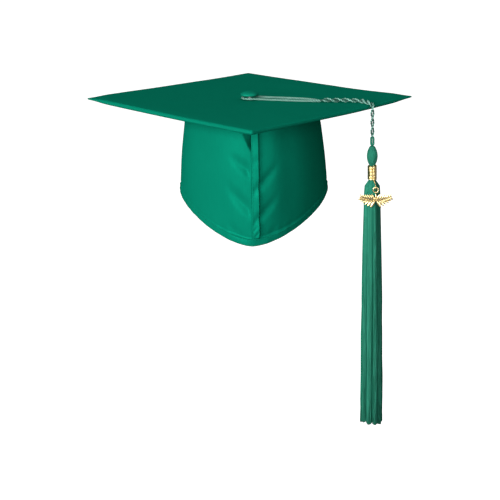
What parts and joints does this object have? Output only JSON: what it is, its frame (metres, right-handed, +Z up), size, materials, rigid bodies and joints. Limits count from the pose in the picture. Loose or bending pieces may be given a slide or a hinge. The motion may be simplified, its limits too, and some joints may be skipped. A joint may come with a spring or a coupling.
{
  "type": "graduation cap",
  "caption": "Square-board graduation cap with a soft pointed crown, a covered button and a long corded tassel with a gilt sprig charm.",
  "frame": {"origin": "centre of the head opening, at the level of the side hems", "axes": "+Z up through the board's centre; -Y towards the front corner of the board and the crown's front point; +X towards the side the tassel hangs on"},
  "size_m": [0.3388, 0.3388, 0.3538],
  "materials": {
    "board_card": "plain stiff card",
    "satin": "emerald polyester satin with a soft sheen",
    "lining": "matt green non-woven lining",
    "headband_tape": "green woven tape",
    "elastic": "white knitted elastic",
    "label": "blank white woven label",
    "button_metal": "plain pressed metal",
    "tassel_cord": "shiny twisted rayon cord",
    "tassel_yarn": "green rayon yarn with a silky sheen",
    "gilt": "bright gold-coloured metal"
  },
  "bodies": {
    "cap": {"board_core": "board_card", "board_cover_top": "satin", "board_cover_underside": "satin", "crown_panel_left": "satin", "crown_panel_right": "satin", "crown_lining_left": "lining", "crown_lining_right": "lining", "crown_top_lining": "lining", "front_seam_band": "satin", "hem_left": "satin", "hem_right": "satin", "headband": "headband_tape", "care_label": "label", "button_cover": "satin", "button_shell": "button_metal", "button_backplate": "button_metal", "button_shank": "button_metal", "shank_washer": "button_metal"},
    "back_elastic": {"elastic_casing": "satin", "elastic_band": "elastic"},
    "board_cord": {"cord_loop": "tassel_cord", "cord_twist": "tassel_cord"},
    "hanging_cord": {"cord_drop": "tassel_cord"},
    "tassel_eye": {"cord_eye": "tassel_cord"},
    "tassel": {"tassel_head": "tassel_yarn", "tassel_band": "gilt", "tassel_skirt": "tassel_yarn", "charm_hanger": "gilt"},
    "ring": {"jump_ring": "gilt"},
    "sprig": {"charm": "gilt"}
  },
  "joints": [
    {"name": "elastic_stretch", "type": "slide", "parent": "cap", "child": "back_elastic", "axis": [0, 1, 0], "range_m": [0, 0.012], "stiffness_N_per_m": 60},
    {"name": "tassel_turn", "type": "hinge", "parent": "cap", "child": "board_cord", "pos_m": [0, 0, 0.099], "axis": [0, 0, 1], "range_deg": [-42, 0]},
    {"name": "tassel_lift", "type": "hinge", "parent": "board_cord", "child": "hanging_cord", "pos_m": [0.12576, -0.05115, 0.10193], "axis": [-0.866, -0.5, 0], "range_deg": [0, 80]},
    {"name": "tassel_sway", "type": "hinge", "parent": "hanging_cord", "child": "tassel_eye", "pos_m": [0.1255, -0.0507, 0.0645], "axis": [0.5, -0.866, 0], "range_deg": [-40, 40]},
    {"name": "tassel_spin", "type": "hinge", "parent": "tassel_eye", "child": "tassel", "pos_m": [0.1255, -0.0507, 0.0579], "axis": [0, 0, 1], "range_deg": [-180, 180]},
    {"name": "ring_swing", "type": "hinge", "parent": "tassel", "child": "ring", "pos_m": [0.1285, -0.0603, 0.015], "axis": [0, 1, 0], "range_deg": [-30, 30]},
    {"name": "charm_swing", "type": "hinge", "parent": "ring", "child": "sprig", "pos_m": [0.1285, -0.0603, 0.0102], "axis": [-1, 0, 0], "range_deg": [0, 90]}
  ]
}
